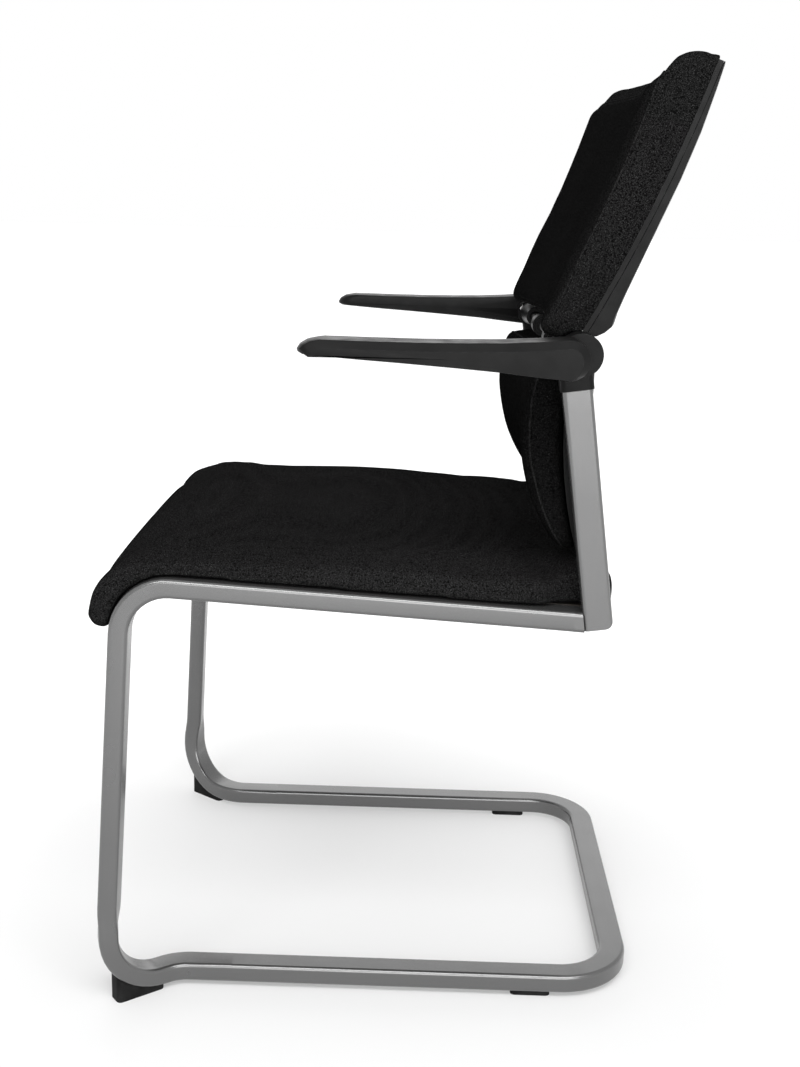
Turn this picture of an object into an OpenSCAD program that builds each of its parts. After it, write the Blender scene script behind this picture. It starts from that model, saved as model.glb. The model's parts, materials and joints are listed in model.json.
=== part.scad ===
// Cantilever conference chair on floor runners, with a fixed lumbar pad and a tilting upper back.
// +Z is up, -Y is the chair's front and the origin is on the floor under the middle of the chair.

/* [Frame tube] */
// flat width of the frame tube
tube_w = 27; // [25:0.5:28]
// thickness of the frame tube
tube_h = 19; // [18:0.5:20]
// corner radius of the frame tube
tube_corner_r = 4; // [3.5:0.25:4.5]
// wall of the frame tube
tube_wall = 2; // [1.5:0.25:2.5]

/* [Side tubes] */
// width over the two seat rails
rail_span = 508; // [500:2:516]
// how far forward the lines of rail and leg meet
corner_forward = 256; // [252:1:260]
// height at which the lines of rail and leg meet
corner_rise = 429.5; // [424:0.5:436]
// fall of the rail to the rear, degrees
rail_angle = 3.1; // [2.6:0.1:3.6]
// outward lean of the leg, degrees
splay_angle = 2.4; // [2.2:0.1:2.8]
// forward lean of the leg, degrees
rake_angle = 3; // [2.5:0.1:3.5]
// turn of the foot end inwards, degrees
toe_angle = 37.5; // [36:0.5:39]
// centre radius of the bend at the seat's front
top_bend_r = 47; // [45:1:49]
// centre radius of the lower bend
bottom_bend_r = 56; // [54:1:57]
// centre radius of the bend on to the runner
toe_bend_r = 45; // [42:1:46]
// length over which the tube twists above its lower bend
twist_len = 30; // [20:1:50]
// rear end of the rail, behind the origin
rail_rear = 164.5; // [164:0.5:165.5]

/* [Floor loop] */
// width over the two runners
runner_span = 448; // [444:1:450]
// rear edge of the loop, behind the origin
loop_rear = 248; // [241:1:254]
// front end of the loop, ahead of the origin
loop_front = 158; // [148:1:168]
// centre radius of the rear corners
rear_bend_r = 60; // [50:1:70]
// height of the tube's underside over the floor
glide_h = 5.7; // [5:0.1:6.5]

/* [Feet and glides] */
// width of a front foot
foot_w = 19; // [17:0.5:19]
// length of a front foot
foot_len = 51; // [46:1:54]
// distance of a foot's front from the corner of leg and floor
foot_start = 9; // [8:0.5:11]
// height of the block that a foot is cut from
foot_block_h = 44; // [42:1:48]
// corner radius of a foot in plan
foot_corner_r = 5; // [4:0.5:6]
// length of a rear glide
glide_len = 40; // [30:1:50]
// middle of a rear glide, behind the origin
glide_mid = 145; // [132:1:157]
// width of a rear glide
glide_w = 18; // [15:0.5:19]

/* [Uprights] */
// forward lean of an upright, degrees
lean_angle = 8.2; // [7.8:0.1:8.5]
// middle of the upright's foot, behind the origin
upright_rear = 187.7; // [187.2:0.1:188.5]
// height of the upright's foot
upright_foot_z = 400.4; // [398:0.2:402]
// length of an upright
upright_len = 236; // [235:0.5:237]
// radius of the closed foot's rear corner
upright_foot_r = 8; // [6:0.5:9]
// length of the socket's spigot inside the rail
spigot_len = 22; // [15:1:30]

/* [Seat] */
// distance of the cushion's sides in from the rails' outer faces
seat_inset = 3; // [1:0.5:6]
// gap between the cushion and an upright
seat_clear = 4; // [2:0.5:8]
// length of the cushion behind the front bend
seat_flat = 416; // [411:1:419]
// length of the cushion round the front bend
seat_curl = 89; // [84:1:92]
// thickness of the cushion
seat_deep = 26; // [24:0.5:28]
// extra thickness near the rear edge
seat_rise = 12.5; // [9:0.5:13.5]
// how far the cushion's top is crowned
seat_crown = 3; // [1:0.5:4]
// rounding of the cushion's front and rear edges
seat_end_r = 9; // [7:0.5:10]
// corner radius of the cushion seen from above
seat_corner_r = 12; // [8:1:16]
// where the cushion starts to narrow, ahead of its rear end
narrow_start = 73; // [68:1:78]
// length over which it narrows
narrow_len = 26; // [20:1:28]
// thickness of the plywood pan
pan_t = 9; // [8:0.5:10]
// length of the pan behind the front bend
pan_flat = 391; // [382:1:396]
// length of the pan round the front bend
pan_curl = 66; // [55:1:72]
// gap between the cushion and what carries it
seat_gap = 0.9; // [0.7:0.1:1.2]
// depth of a cross bar
bar_w = 30; // [26:1:34]
// height of a cross bar
bar_h = 9; // [8:0.5:10]
// wall of a cross bar
bar_wall = 1.5; // [1.2:0.1:2]
// front cross bar, behind the front bend
front_bar_at = 58; // [46:1:76]
// rear cross bar, behind the front bend
rear_bar_at = 331; // [296:1:341]
// distance of a seat screw from the middle
seat_screw_x = 150; // [120:1:180]
// radius of a seat screw
seat_screw_r = 2.5; // [2:0.1:3]
// depth of a seat screw in the pan
seat_screw_bite = 6; // [5:0.5:7]

/* [Lower back] */
// gap between the lower back and an upright
lumbar_clear = 13; // [11:0.5:17]
// height of its lower edge
lumbar_low = 463.5; // [463:0.5:466]
// height of its upper edge
lumbar_high = 634; // [631:0.5:635]
// height of its foremost line
lumbar_line_z = 583; // [575:1:590]
// the piping's foremost point, behind the origin
lumbar_front = 115.4; // [113:0.2:118]
// the shell's foremost point, behind the origin
lumbar_seam = 148; // [146:0.5:150]
// the shell's rear, behind the origin
lumbar_rear = 173.5; // [171:0.5:175]
// radius of the front's side line
lumbar_front_r = 200; // [195:1:210]
// radius of the seam's side line
lumbar_seam_r = 400; // [380:5:430]
// how far the middle is set back
lumbar_sag = 14; // [11:0.5:16]
// crown of the pad ahead of its piping
lumbar_crown = 7; // [5:0.5:9]
// corner radius of the pad in front view
lumbar_corner_r = 14; // [10:1:18]
// wall of the lower shell
lumbar_wall = 3; // [2.5:0.25:3.5]
// foot of the pockets in the shell, over its lower edge
pocket_rise = 26; // [22:1:32]

/* [Lower back brackets] */
// thickness of a bracket
bracket_t = 6; // [5:0.5:7]
// height of a bracket
bracket_h = 50; // [40:1:60]
// height of a bracket's middle
bracket_z = 580; // [570:1:588]
// a bracket's front face, behind the origin
bracket_front = 159; // [158:0.5:160]
// how far a bracket reaches into the shell
bracket_reach = 17; // [14:1:20]
// distance of a bracket's screws from its middle
bracket_screw_z = 15; // [12:1:18]
// radius of a bracket screw
bracket_screw_r = 2; // [1.6:0.1:2.4]

/* [Upper back] */
// gap between the upper back and a cap
back_clear = 2; // [2:0.5:6]
// foot of the seam between pad and shell, behind the origin
back_foot_y = 156; // [155:0.5:157]
// height of that foot
back_foot_z = 666; // [665.5:0.5:668]
// recline at the foot, degrees
recline_angle = 29.5; // [28.5:0.1:30.5]
// radius of the side line
back_r = 1350; // [1250:10:1500]
// length of the side line
back_len = 267; // [262:1:271]
// how far the middle is set back
back_sag = 23; // [19:0.5:25]
// corner radius of the top corners in front view
back_corner_r = 14; // [10:1:30]
// corner radius of the bottom corners in front view
back_low_r = 12; // [8:1:15]
// depth of the pad from seam to piping, at the top
back_pad_deep = 43.5; // [41:0.5:45]
// how much less deep the pad is at its foot
back_pad_taper = 9; // [6:0.5:11]
// crown of the pad ahead of its piping
back_crown = 9; // [7:0.5:11]
// thickness of the carrier
carrier_t = 4.5; // [4:0.25:5]
// depth of the rear cover at its knee
cover_deep = 20.75; // [20.25:0.25:22]
// wall of the rear cover
cover_wall = 2.4; // [2:0.2:2.6]
// gap between soft pieces and shells
soft_gap = 0.3; // [0.3:0.05:0.5]

/* [Hinge] */
// hinge axis, behind the origin
hinge_y = 149; // [148:0.5:150]
// height of the hinge axis
hinge_z = 650; // [649.5:0.5:651]
// radius of the shaft
shaft_r = 5; // [4.5:0.25:5.25]
// gap between the shaft and its bores
shaft_fit = 0.05; // [0.03:0.01:0.08]
// wall of a bush
bush_wall = 2.95; // [2.5:0.05:3]
// width of a lug
lug_w = 24; // [20:1:26]
// radius of a lug round the shaft
lug_r = 12; // [11:0.25:12]
// thickness of a lug's riser
lug_t = 4; // [3.5:0.25:4.5]
// height of a lug's bar
lug_bar_h = 13; // [11:0.5:14]
// length of a lug's bar
lug_bar_len = 34; // [32:0.5:36]
// where the riser is fixed, along the side line
lug_seat_at = 60; // [58:1:62]
// reach of the riser above its seat
riser_up = 25; // [20:1:26]
// reach of the riser below its seat
riser_down = 75; // [73:1:77]
// height of the seat block on the carrier
seat_block_h = 54; // [50:1:56]
// width of the seat block on the carrier
seat_block_w = 31; // [30:0.5:32]
// how far the seat block stands off the carrier
seat_block_t = 1.2; // [1:0.1:1.4]
// radius of a lug screw
lug_screw_r = 2; // [1.6:0.1:2.2]
// distance of a lug screw from the seat's middle
lug_screw_at = 14; // [11:1:16]
// depth of a lug screw in its block
lug_screw_bite = 3.6; // [3:0.2:4]

/* [Sleeves and springs] */
// radius of a sleeve at its cap
sleeve_r = 14.5; // [13:0.25:14.75]
// radius of a sleeve at its inner end
sleeve_end_r = 9.6; // [9.4:0.1:11]
// length of a sleeve
sleeve_len = 48; // [44:1:52]
// radius of the ring on the sleeve's end
sleeve_ring_r = 10.6; // [10.2:0.1:11.5]
// length of that ring
sleeve_ring_len = 4; // [3:0.5:6]
// radius of the sleeve's bore
sleeve_bore_r = 8.2; // [8.1:0.05:8.4]
// depth of the sleeve's bore
sleeve_bore_deep = 38; // [36:1:40]
// radius of the return spring's wire
wire_r = 0.75; // [0.6:0.05:0.85]
// centre radius of the return spring
coil_r = 6.8; // [6.6:0.05:6.95]
// length of the return spring
coil_len = 33; // [30:1:34]
// radius of a ring on the shaft
ring_r = 8.5; // [7.5:0.25:9]
// width of a ring on the shaft
ring_w = 5; // [4:0.5:6]
// gap beside a ring
ring_gap = 0.3; // [0.2:0.05:0.5]

/* [Caps] */
// distance of a cap's ends from its upright
cap_wall = 2; // [1.8:0.1:2.2]
// how far the barrel stands out past the walls round the upright
cap_step = 0.3; // [0.2:0.05:0.4]
// gap between a cap and its upright
cap_fit = 0.15; // [0.1:0.05:0.2]
// length of upright inside the cap
cap_grip = 13; // [11:0.5:14]
// radius of the cap's barrel
barrel_r = 19.25; // [18.75:0.25:20]
// barrel's middle behind the hinge axis
barrel_back = 8.5; // [8:0.25:9.5]
// barrel's middle above the hinge axis
barrel_up = 2.5; // [2:0.25:3.5]
// radius of the boss round the hinge axis
boss_r = 17; // [16.5:0.25:17.25]
// end wall of the cap outside the shaft
cap_end = 4; // [3.5:0.25:4.5]

/* [Arm rests] */
// width of an arm rest
arm_w = 46; // [43:1:49]
// radius of the rear end
arm_end_r = 17.5; // [16.5:0.25:18.5]
// rear end's middle, behind the origin
arm_rear_y = 144; // [142:0.5:146]
// height of the rear end's middle
arm_rear_z = 652; // [651:0.5:653]
// length from the rear end's middle to the tip
arm_len = 234.5; // [222:1:248]
// width of the outer bevel
arm_bevel = 7; // [5:0.5:8]
// rounding of the inner edge
arm_round = 3; // [2:0.5:4]
// how far the tip's corners curve back
arm_tip_r = 14; // [10:1:18]
// radius of an arm screw
arm_screw_r = 2; // [1.8:0.1:2.2]
// depth of an arm screw in the arm
arm_screw_bite = 20; // [15:1:25]
// distance of an arm screw from the hinge axis
arm_screw_at = 12.6; // [12.2:0.1:13]

/* [Hidden] */
// which node is drawn

// how far a cut runs past the face it opens
overrun = 1;
// gap of a screw in the hole it passes through
screw_gap = 0.2;
// gap of a screw in the hole that holds it
screw_fit = 0.05;
// head of a screw against the screw's radius
head_share = 1.8;
// gap round a spigot and under a foot
seat_fit = 0.3;
round_fn = 48;
small_fn = 24;

// inner face of an upright and of its cap, and half widths of the cushions between them
upright_inner_x = rail_span / 2 - tube_h;
cap_inner_x = upright_inner_x - cap_wall;
seat_half = rail_span / 2 - seat_inset;
seat_rear_half = upright_inner_x - seat_clear;
lumbar_half = upright_inner_x - lumbar_clear;
back_half = cap_inner_x - back_clear;
// distance of the hinge lugs from the middle, against the upper back's half width
lug_share = 0.324675;
lug_x = back_half * lug_share;

steel = [0.74, 0.75, 0.76];
zinc = [0.6, 0.6, 0.62];
black = [0.12, 0.12, 0.13];
cloth = [0.2, 0.2, 0.21];
stained = [0.2, 0.18, 0.16];

// ---- lofts ----

function unit(v) = v / norm(v);
function smooth(t) = let(c = max(0, min(1, t))) c * c * (3 - 2 * c);
function middle(ring) = ([for (p = ring) 1] * ring) / len(ring);

// triangles between successive rings of n points
function wall_faces(rings, n, first, outside) = [
    for (i = [0:rings - 2], j = [0:n - 1])
        let(a = first + i * n + j, b = first + i * n + (j + 1) % n)
        each (outside ? [[a, a + n, b], [b, a + n, b + n]] : [[a, b, a + n], [b, b + n, a + n]])
];

// closed solid through rings, each end drawn to its own middle
module soft_loft(rings) {
    n = len(rings[0]);
    last = n * (len(rings) - 1);
    low = n * len(rings);
    polyhedron(
        points = concat([for (r = rings) each r], [middle(rings[0]), middle(rings[len(rings) - 1])]),
        faces = concat(
            wall_faces(len(rings), n, 0, true),
            [for (j = [0:n - 1]) [low, j, (j + 1) % n]],
            [for (j = [0:n - 1]) [low + 1, last + (j + 1) % n, last + j]]));
}

// closed solid through rings of two equal rows, the second row running back
module shell_loft(rings) {
    n = len(rings[0]);
    last = n * (len(rings) - 1);
    polyhedron(
        points = [for (r = rings) each r],
        faces = concat(
            wall_faces(len(rings), n, 0, true),
            [for (i = [0:n / 2 - 2]) each [[i, i + 1, n - 1 - i], [i + 1, n - 2 - i, n - 1 - i]]],
            [for (i = [0:n / 2 - 2])
                each [[last + i, last + n - 1 - i, last + i + 1],
                    [last + i + 1, last + n - 1 - i, last + n - 2 - i]]]));
}

// open tube through rings, with its inner rings following its outer ones
module tube_loft(outer, inner) {
    n = len(outer[0]);
    all = n * len(outer);
    last = all - n;
    polyhedron(
        points = concat([for (r = outer) each r], [for (r = inner) each r]),
        faces = concat(
            wall_faces(len(outer), n, 0, true),
            wall_faces(len(inner), n, all, false),
            [for (j = [0:n - 1]) let(k = (j + 1) % n) each [[j, k, all + j], [k, all + k, all + j]]],
            [for (j = [0:n - 1])
                let(a = last + j, b = last + (j + 1) % n)
                each [[a, all + a, b], [b, all + a, all + b]]]));
}

module across(w) rotate([90, 0, 90]) linear_extrude(w, center = true) children();
module along_x(x0, x1, r) translate([x0, 0, 0]) rotate([0, 90, 0])
    cylinder(h = x1 - x0, r = r, $fn = round_fn);
module both_sides() {
    children();
    mirror([1, 0, 0]) children();
}
module round_rect(w, h, r) {
    square([w - 2 * r, h], center = true);
    square([w, h - 2 * r], center = true);
    for (x = [-1, 1], y = [-1, 1])
        translate([x * (w / 2 - r), y * (h / 2 - r)]) circle(r, $fn = small_fn);
}
module tube_section(grow = 0)
    round_rect(tube_w + 2 * grow, tube_h + 2 * grow, tube_corner_r + grow);

// ---- side tubes ----

rail_x = (rail_span - tube_w) / 2;
runner_x = (runner_span - tube_w) / 2;
runner_z = glide_h + tube_h / 2;
rail_way = [0, -cos(rail_angle), sin(rail_angle)];
leg_way = unit([tan(splay_angle), -tan(rake_angle), -1]);
toe_way = [-sin(toe_angle), cos(toe_angle), 0];
runner_way = [0, 1, 0];
top_corner = [rail_x, -corner_forward, corner_rise];
low_corner = top_corner - leg_way * ((corner_rise - runner_z) / leg_way[2]);
toe_corner = low_corner + toe_way * ((low_corner[0] - runner_x) / sin(toe_angle));
rail_end = top_corner - rail_way * ((rail_rear + corner_forward) / cos(rail_angle));
// share of the foot's turn that the tube has twisted by at the lower bend's start
twist_share = 0.42;

function turn_between(a, b) = acos(a * b);
function bend_run(a, b, r) = r * tan(turn_between(a, b) / 2);
function bend_point(start, a, b, r, t) = start + r * sin(t) * a + r * (1 - cos(t)) * unit(b - a * (a * b));
function bend_way(a, b, t) = a * cos(t) + unit(b - a * (a * b)) * sin(t);
// places round a bend, each with its direction and the section's heading
function bend_places(corner, a, b, r, n, from, to) =
    let(start = corner - a * bend_run(a, b, r), turn = turn_between(a, b))
    [for (i = [0:n])
        [bend_point(start, a, b, r, turn * i / n), bend_way(a, b, turn * i / n),
            from + (to - from) * i / n]];

low_bend_start = low_corner - leg_way * bend_run(leg_way, toe_way, bottom_bend_r);
twist_places = [for (i = [0:3])
    [low_bend_start - leg_way * twist_len * (1 - i / 4), leg_way, toe_angle * twist_share * smooth(i / 4)]];
low_bend = bend_places(low_corner, leg_way, toe_way, bottom_bend_r, 12, toe_angle * twist_share, toe_angle);
side_places = concat(
    [[rail_end, rail_way, 0]],
    bend_places(top_corner, rail_way, leg_way, top_bend_r, 10, 0, 0),
    twist_places,
    low_bend,
    bend_places(toe_corner, toe_way, runner_way, toe_bend_r, 7, toe_angle, 0),
    [[[runner_x, -loop_front, runner_z], runner_way, 0]]);

function place_ring(place, outline) =
    let(flat = [cos(place[2]), sin(place[2]), 0],
        w = unit(flat - place[1] * (flat * place[1])),
        n = cross(place[1], w))
    [for (q = outline) place[0] + w * q[0] + n * q[1]];
function tube_outline(inset) =
    let(x = tube_w / 2 - tube_corner_r, y = tube_h / 2 - tube_corner_r, r = tube_corner_r - inset)
    [for (q = [0:3], i = [0:3])
        let(a = 90 * q + 30 * i) [(q == 0 || q == 3 ? x : -x) + r * cos(a), (q < 2 ? y : -y) + r * sin(a)]];

module side_tube() color(steel) tube_loft(
    [for (p = side_places) place_ring(p, tube_outline(0))],
    [for (p = side_places) place_ring(p, tube_outline(tube_wall))]);

// ---- floor loop ----

loop_corner_y = loop_rear - tube_w / 2 - rear_bend_r;
loop_corner_x = runner_x - rear_bend_r;

module hollow_section() difference() {
    tube_section();
    tube_section(-tube_wall);
}
module floor_loop_tube() color(steel) translate([0, 0, runner_z]) {
    both_sides() {
        translate([runner_x, -loop_front, 0])
            rotate([-90, 0, 0]) linear_extrude(loop_front + loop_corner_y) hollow_section();
        translate([loop_corner_x, loop_corner_y, 0])
            rotate_extrude(angle = 90, $fn = round_fn) translate([rear_bend_r, 0]) hollow_section();
    }
    translate([0, loop_corner_y + rear_bend_r, 0])
        rotate([90, 0, 90]) linear_extrude(2 * loop_corner_x, center = true) hollow_section();
}

// ---- feet and glides ----

module front_foot() color(black) difference() {
    translate([low_corner[0], low_corner[1], 0])
        rotate([0, 0, 90 + toe_angle])
            translate([foot_start + foot_len / 2, 0, 0])
                linear_extrude(foot_block_h) round_rect(foot_len, foot_w, foot_corner_r);
    foot_cut();
}
// everything on the inner side of the lower bend's outer face
module foot_cut() {
    low = -(bottom_bend_r - tube_h / 2);
    high = tube_h / 2 + seat_fit;
    outline = [[tube_w, low], [tube_w, high], [-tube_w, high], [-tube_w, low]];
    start = low_bend[0];
    end = low_bend[12];
    places = concat(
        [[start[0] - leg_way * foot_block_h, leg_way, start[2]]],
        low_bend,
        [[end[0] + toe_way * foot_w, toe_way, end[2]]]);
    soft_loft([for (p = places) place_ring(p, outline)]);
}
module rear_glide() color(black) translate([runner_x, glide_mid, 0])
    linear_extrude(glide_h) round_rect(glide_w, glide_len, glide_w / 4);

// ---- uprights and sockets ----

upright_x = rail_span / 2 - tube_h / 2;

module on_upright() translate([upright_x, upright_rear, upright_foot_z])
    rotate([lean_angle, 0, 0]) children();
// upright's body, its closed foot rounded at the rear
module upright_body(inset) difference() {
    translate([0, 0, inset])
        linear_extrude(upright_len - inset + (inset > 0 ? overrun : 0))
            rotate(90) tube_section(-inset);
    corner = upright_foot_r - inset;
    translate([0, tube_w / 2 - upright_foot_r, upright_foot_r])
        across(tube_w) difference() {
            translate([0, -upright_foot_r - overrun]) square(upright_foot_r + overrun);
            circle(corner, $fn = round_fn);
        }
}
module upright() color(steel) on_upright() difference() {
    upright_body(0);
    upright_body(tube_wall);
}
module rail_socket() color(steel) {
    difference() {
        translate(rail_end) rotate([-90 - rail_angle, 0, 0]) linear_extrude(tube_h) tube_section();
        on_upright() translate([-tube_w, -tube_w / 2, -tube_w]) cube([2 * tube_w, 2 * tube_w, 4 * tube_w]);
    }
    translate(rail_end) rotate([90 - rail_angle, 0, 0])
        linear_extrude(spigot_len) tube_section(-tube_wall - seat_fit);
}

// ---- seat ----

// the seat follows the rails' tops: places are measured back along them from the front bend
seat_bend_r = top_bend_r + tube_h / 2;
seat_turn = 90 + rail_angle - rake_angle;
seat_origin = [0, -corner_forward, corner_rise];
bend_back = top_bend_r * tan(seat_turn / 2);

module seat_frame() translate(seat_origin) rotate([-rail_angle, 0, 0])
    translate([0, bend_back, -top_bend_r]) children();
function seat_angle(d) = max(0, min(seat_turn, -d / seat_bend_r * 180 / PI));
function seat_place(d, up) =
    let(t = seat_angle(d), rest = d + t * PI / 180 * seat_bend_r, r = seat_bend_r + up)
    [rest * cos(t) - r * sin(t), rest * sin(t) + r * cos(t)];

// steps along a straight side and round a corner of a cushion's outline
side_steps = 10;
corner_steps = 3;
function corner_point(c, a) = [c[0] + c[2] * cos(a), c[1] + c[2] * sin(a)];
// rounded rectangle, anticlockwise, drawn in by a share k about its middle
function pad_outline(half, low, high, low_r, high_r, k) =
    let(mid = (low + high) / 2,
        corners = [[half - low_r, low + low_r, low_r], [half - high_r, high - high_r, high_r],
            [high_r - half, high - high_r, high_r], [low_r - half, low + low_r, low_r]])
    [for (c = [0:3])
        let(turn = 90 * c,
            end = corner_point(corners[c], turn),
            next = corner_point(corners[(c + 1) % 4], turn))
        each concat(
            [for (i = [0:corner_steps - 1])
                let(p = corner_point(corners[c], turn - 90 + 90 * i / corner_steps))
                [p[0] * k, mid + (p[1] - mid) * k]],
            [for (i = [0:side_steps - 1])
                let(p = end + (next - end) * i / side_steps) [p[0] * k, mid + (p[1] - mid) * k]])];

// value in column c of a table at place t, eased between its rows
function eased(table, t, c, i = 0) =
    i == len(table) - 2 || t <= table[i + 1][0]
        ? let(a = table[i], b = table[i + 1]) a[c] + (b[c] - a[c]) * smooth((t - a[0]) / (b[0] - a[0]))
        : eased(table, t, c, i + 1);
// how much an edge's rounding has drawn in, from none at its inner end to 1 at the edge
function round_off(d, r) = d < r ? 1 - sqrt(1 - pow(1 - d / r, 2)) : 0;

// places along the cushion, as shares of its curl (below zero) and of its flat
seat_along_shares = [-1, -0.988, -0.96, -0.92, -0.86, -0.78, -0.68, -0.58, -0.48, -0.38, -0.28, -0.18, -0.08,
    0, 0.03, 0.08, 0.15, 0.24, 0.36, 0.48, 0.6, 0.72, 0.825, 0.842, 0.857, 0.872, 0.888, 0.92, 0.955, 0.975,
    0.988, 0.996, 1];
// share of the thickness and of the rear rise at such places
seat_deep_shares = [[-1, 0.94, 0], [-0.67, 1.1, 0], [-0.5, 1, 0], [-0.28, 0.75, 0], [-0.06, 0.67, 0],
    [0.07, 0.71, 0], [0.48, 1, 0], [0.825, 0.98, 0], [0.94, 0.98, 1], [1, 0.98, 0.52]];
// side of the cushion's section: inset as a share of the thickness, and share of the way up
seat_side_shares = [[0.5, 0], [0.16, 0], [0.05, 0.02], [0, 0.2], [0, 0.5], [0.03, 0.72], [0.12, 0.88],
    [0.27, 0.97], [0.5, 1]];
// places across the section's top, as shares of its half width
seat_top_shares = [0.85, 0.68, 0.48, 0.25];

function seat_half_at(d) =
    seat_half - (seat_half - seat_rear_half) * smooth((d - seat_flat + narrow_start) / narrow_len)
    - seat_corner_r * (round_off(d + seat_curl, seat_corner_r) + round_off(seat_flat - d, seat_corner_r));
function seat_deep_at(t) =
    seat_deep * eased(seat_deep_shares, t, 1) + seat_rise * eased(seat_deep_shares, t, 2);
function seat_ring(t) =
    let(d = t * (t < 0 ? seat_curl : seat_flat),
        front = seat_end_r * round_off(d + seat_curl, seat_end_r),
        rear = seat_end_r * round_off(seat_flat - d, seat_end_r),
        low = seat_gap + front * 0.9 + rear * 0.3,
        high = seat_gap + seat_deep_at(t) - front - rear * 1.6,
        half = seat_half_at(d),
        edge = half - seat_deep / 2,
        side = concat(
            [for (s = seat_side_shares) [half - s[0] * seat_deep, low + (high - low) * s[1]]],
            [for (u = seat_top_shares) [edge * u, high + seat_crown * (1 - u * u)]]),
        ring = concat(
            [[0, low], [half / 2, low]],
            side,
            [[0, high + seat_crown]],
            [for (i = [len(side) - 1:-1:0]) [-side[i][0], side[i][1]]],
            [[-half / 2, low]]))
    [for (q = ring) let(p = seat_place(d, q[1])) [-q[0], p[0], p[1]]];
module seat_cushion() color(cloth) seat_frame() soft_loft([for (t = seat_along_shares) seat_ring(t)]);

pan_half = rail_span / 2 - tube_w - seat_fit;
pan_steps = 8;
pan_line = concat([for (i = [pan_steps:-1:0]) -pan_curl * i / pan_steps], [pan_flat]);

module seat_pan() color(stained) seat_frame() difference() {
    across(2 * pan_half) polygon(concat(
        [for (d = pan_line) seat_place(d, -pan_t)],
        [for (i = [len(pan_line) - 1:-1:0]) seat_place(pan_line[i], 0)]));
    seat_screw_places() translate([0, 0, -overrun])
        cylinder(h = overrun + seat_screw_bite, r = seat_screw_r + screw_fit, $fn = small_fn);
}
bar_top = seat_bend_r - pan_t;
module seat_screw_places() for (x = [-1, 1], d = [front_bar_at, rear_bar_at])
    translate([x * seat_screw_x, d, bar_top]) children();
module cross_bar(at) color(steel) seat_frame() difference() {
    translate([0, at, bar_top - bar_h / 2]) across(rail_span - 2 * tube_w) difference() {
        round_rect(bar_w, bar_h, bar_wall);
        square([bar_w - 2 * bar_wall, bar_h - 2 * bar_wall], center = true);
    }
    seat_screw_places() translate([0, 0, -bar_h - overrun])
        cylinder(h = bar_h + 2 * overrun, r = seat_screw_r + screw_gap, $fn = small_fn);
}
module seat_screws() color(zinc) seat_frame() seat_screw_places() {
    translate([0, 0, -bar_h])
        cylinder(h = bar_h + seat_screw_bite - seat_fit, r = seat_screw_r, $fn = small_fn);
    translate([0, 0, -bar_h - seat_screw_r - screw_fit])
        cylinder(h = seat_screw_r, r = seat_screw_r * head_share, $fn = small_fn);
    translate([0, 0, -bar_h - seat_screw_r]) cylinder(h = seat_screw_r, r = seat_screw_r, $fn = small_fn);
}

// ---- lower back ----

function lumbar_set(x) = lumbar_sag * (1 - pow(x / lumbar_half, 2));
function lumbar_curve(z, r) = r - sqrt(r * r - pow(z - lumbar_line_z, 2));
function lumbar_seam_y(z) = lumbar_seam + lumbar_curve(z, lumbar_seam_r);
function lumbar_front_y(z) =
    min(lumbar_front + lumbar_curve(z, lumbar_front_r), lumbar_seam_y(z) - lumbar_crown);
// share of the outline and of the way from seam to piping, then of the crown
lumbar_ring_shares = [[0.4, 0], [0.75, 0], [0.95, 0], [0.988, 0.02], [1, 0.3], [1, 0.7], [0.993, 1],
    [0.975, 1.45], [0.94, 1.75], [0.88, 1.9], [0.78, 1.97], [0.6, 2], [0.35, 2]];
function lumbar_ring(share) = [
    for (q = pad_outline(lumbar_half, lumbar_low, lumbar_high, lumbar_corner_r, lumbar_corner_r, share[0]))
        let(seam = lumbar_seam_y(q[1]), front = lumbar_front_y(q[1]),
            pad = seam + (front - seam) * min(1, share[1]) - lumbar_crown * max(0, share[1] - 1))
        [q[0], pad + lumbar_set(q[0]), q[1]]
];
module lower_back_pad() color(cloth) soft_loft([for (s = lumbar_ring_shares) lumbar_ring(s)]);

// shell between the seam and the rear, drawn in by walls on every side but the front
module lumbar_body(x0, x1, steps, low, high, front, rear) {
    rows = 8;
    levels = [for (i = [0:rows - 1]) low + (high - low) * i / (rows - 1)];
    shell_loft([for (i = [0:steps])
        let(x = x0 + (x1 - x0) * i / steps)
        concat(
            [for (z = levels) [x, lumbar_rear - rear + lumbar_set(x), z]],
            [for (k = [rows - 1:-1:0]) [x, lumbar_seam_y(levels[k]) + front + lumbar_set(x), levels[k]]])]);
}
rib_x = lumbar_half / 3;
module lower_back_shell() color(black) difference() {
    lumbar_body(-lumbar_half, lumbar_half, 14, lumbar_low, lumbar_high, soft_gap, 0);
    for (x = [-lumbar_half + lumbar_wall, -rib_x + lumbar_wall / 2, rib_x + lumbar_wall / 2])
        lumbar_body(x, x + 2 * rib_x - (x == -rib_x + lumbar_wall / 2 ? lumbar_wall : lumbar_wall * 1.5), 5,
            lumbar_low + pocket_rise, lumbar_high - lumbar_wall, -overrun, lumbar_wall);
    both_sides() translate([lumbar_half - lumbar_wall - overrun, bracket_front - seat_fit,
        bracket_z - bracket_h / 2 - seat_fit])
        cube([lumbar_wall + 2 * overrun, bracket_t + 2 * seat_fit, bracket_h + 2 * seat_fit]);
    bracket_screw_places() rotate([-90, 0, 0])
        cylinder(h = lumbar_rear, r = bracket_screw_r + screw_gap, $fn = small_fn);
    bracket_screw_places() translate([0, bracket_head_y, 0]) rotate([-90, 0, 0])
        cylinder(h = lumbar_rear, r = bracket_screw_r * head_share + screw_gap, $fn = small_fn);
}
bracket_screw_x = lumbar_half - bracket_reach + 2 * bracket_screw_r * head_share;
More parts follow.
